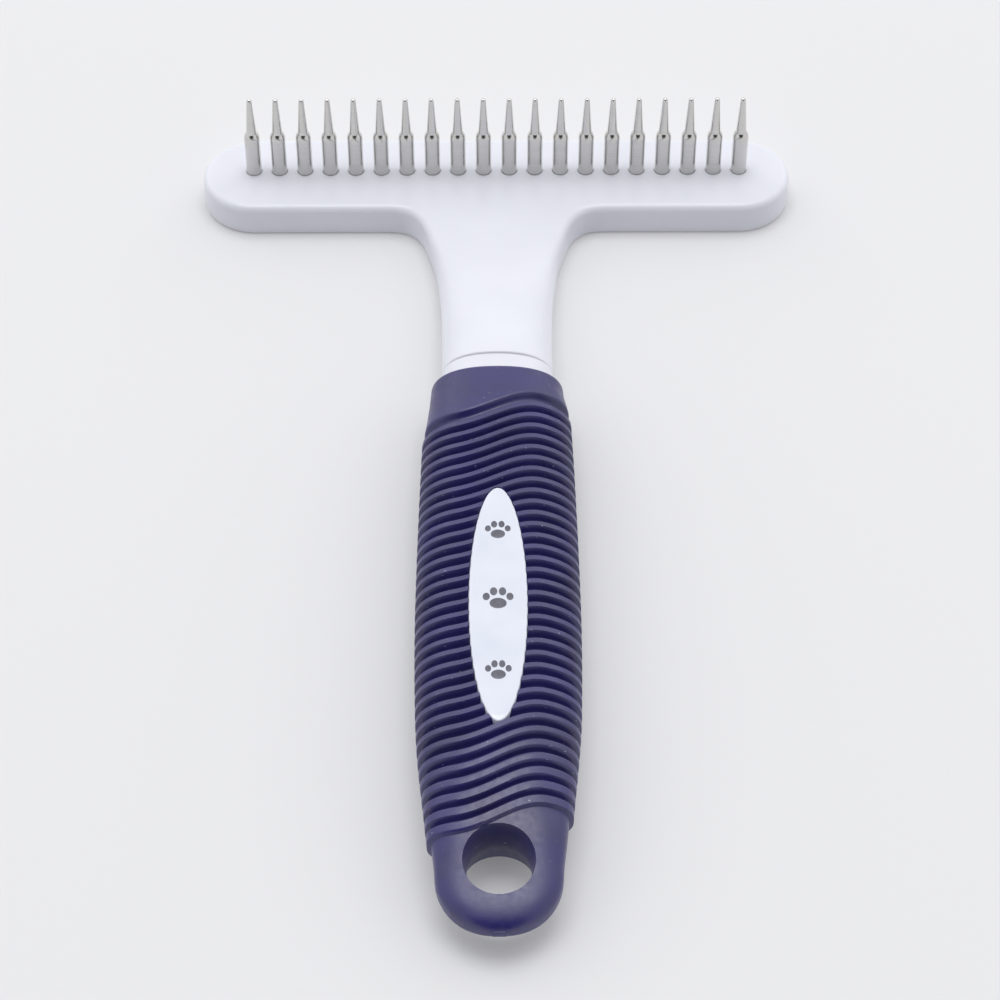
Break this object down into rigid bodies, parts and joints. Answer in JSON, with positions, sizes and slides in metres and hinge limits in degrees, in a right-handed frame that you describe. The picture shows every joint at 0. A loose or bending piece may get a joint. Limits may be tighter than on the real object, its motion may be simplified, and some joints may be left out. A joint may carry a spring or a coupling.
{
  "type": "undercoat rake",
  "caption": "T-shaped pet undercoat rake: glossy white head with a row of stepped steel pins that turn freely, wavy-ribbed navy soft grip, badge inlay and hanging hole.",
  "frame": {"origin": "middle of the outline, on the surface that the rake's back lies on", "axes": "+Y from the tail of the handle to the head, +X along the head bar, +Z the way the pins point"},
  "size_m": [0.115, 0.1898, 0.025],
  "materials": {
    "white_gloss": "glossy moulded plastic",
    "white_core": "plain moulded plastic, hidden inside the grip",
    "navy_grip": "soft satin elastomer",
    "badge_face": "smooth gloss inlay",
    "pin_steel": "turned and polished stainless steel"
  },
  "bodies": {
    "handle": {"head_frame": "white_gloss", "head_back_cover": "white_gloss", "tang_back_cover": "white_core", "grip": "navy_grip", "badge": "badge_face"},
    "pin_01": {"pin_01": "pin_steel"},
    "pin_02": {"pin_02": "pin_steel"},
    "pin_03": {"pin_03": "pin_steel"},
    "pin_04": {"pin_04": "pin_steel"},
    "pin_05": {"pin_05": "pin_steel"},
    "pin_06": {"pin_06": "pin_steel"},
    "pin_07": {"pin_07": "pin_steel"},
    "pin_08": {"pin_08": "pin_steel"},
    "pin_09": {"pin_09": "pin_steel"},
    "pin_10": {"pin_10": "pin_steel"},
    "pin_11": {"pin_11": "pin_steel"},
    "pin_12": {"pin_12": "pin_steel"},
    "pin_13": {"pin_13": "pin_steel"},
    "pin_14": {"pin_14": "pin_steel"},
    "pin_15": {"pin_15": "pin_steel"},
    "pin_16": {"pin_16": "pin_steel"},
    "pin_17": {"pin_17": "pin_steel"},
    "pin_18": {"pin_18": "pin_steel"},
    "pin_19": {"pin_19": "pin_steel"},
    "pin_20": {"pin_20": "pin_steel"}
  },
  "joints": [
    {"name": "pin_01_spin", "type": "hinge", "parent": "handle", "child": "pin_01", "pos_m": [-0.0475, 0.08535, 0.0068], "axis": [0, 0, 1], "continuous": true},
    {"name": "pin_02_spin", "type": "hinge", "parent": "handle", "child": "pin_02", "pos_m": [-0.0425, 0.08535, 0.0068], "axis": [0, 0, 1], "continuous": true},
    {"name": "pin_03_spin", "type": "hinge", "parent": "handle", "child": "pin_03", "pos_m": [-0.0375, 0.08535, 0.0068], "axis": [0, 0, 1], "continuous": true},
    {"name": "pin_04_spin", "type": "hinge", "parent": "handle", "child": "pin_04", "pos_m": [-0.0325, 0.08535, 0.0068], "axis": [0, 0, 1], "continuous": true},
    {"name": "pin_05_spin", "type": "hinge", "parent": "handle", "child": "pin_05", "pos_m": [-0.0275, 0.08535, 0.0068], "axis": [0, 0, 1], "continuous": true},
    {"name": "pin_06_spin", "type": "hinge", "parent": "handle", "child": "pin_06", "pos_m": [-0.0225, 0.08535, 0.0068], "axis": [0, 0, 1], "continuous": true},
    {"name": "pin_07_spin", "type": "hinge", "parent": "handle", "child": "pin_07", "pos_m": [-0.0175, 0.08535, 0.0068], "axis": [0, 0, 1], "continuous": true},
    {"name": "pin_08_spin", "type": "hinge", "parent": "handle", "child": "pin_08", "pos_m": [-0.0125, 0.08535, 0.0068], "axis": [0, 0, 1], "continuous": true},
    {"name": "pin_09_spin", "type": "hinge", "parent": "handle", "child": "pin_09", "pos_m": [-0.0075, 0.08535, 0.0068], "axis": [0, 0, 1], "continuous": true},
    {"name": "pin_10_spin", "type": "hinge", "parent": "handle", "child": "pin_10", "pos_m": [-0.0025, 0.08535, 0.0068], "axis": [0, 0, 1], "continuous": true},
    {"name": "pin_11_spin", "type": "hinge", "parent": "handle", "child": "pin_11", "pos_m": [0.0025, 0.08535, 0.0068], "axis": [0, 0, 1], "continuous": true},
    {"name": "pin_12_spin", "type": "hinge", "parent": "handle", "child": "pin_12", "pos_m": [0.0075, 0.08535, 0.0068], "axis": [0, 0, 1], "continuous": true},
    {"name": "pin_13_spin", "type": "hinge", "parent": "handle", "child": "pin_13", "pos_m": [0.0125, 0.08535, 0.0068], "axis": [0, 0, 1], "continuous": true},
    {"name": "pin_14_spin", "type": "hinge", "parent": "handle", "child": "pin_14", "pos_m": [0.0175, 0.08535, 0.0068], "axis": [0, 0, 1], "continuous": true},
    {"name": "pin_15_spin", "type": "hinge", "parent": "handle", "child": "pin_15", "pos_m": [0.0225, 0.08535, 0.0068], "axis": [0, 0, 1], "continuous": true},
    {"name": "pin_16_spin", "type": "hinge", "parent": "handle", "child": "pin_16", "pos_m": [0.0275, 0.08535, 0.0068], "axis": [0, 0, 1], "continuous": true},
    {"name": "pin_17_spin", "type": "hinge", "parent": "handle", "child": "pin_17", "pos_m": [0.0325, 0.08535, 0.0068], "axis": [0, 0, 1], "continuous": true},
    {"name": "pin_18_spin", "type": "hinge", "parent": "handle", "child": "pin_18", "pos_m": [0.0375, 0.08535, 0.0068], "axis": [0, 0, 1], "continuous": true},
    {"name": "pin_19_spin", "type": "hinge", "parent": "handle", "child": "pin_19", "pos_m": [0.0425, 0.08535, 0.0068], "axis": [0, 0, 1], "continuous": true},
    {"name": "pin_20_spin", "type": "hinge", "parent": "handle", "child": "pin_20", "pos_m": [0.0475, 0.08535, 0.0068], "axis": [0, 0, 1], "continuous": true}
  ]
}
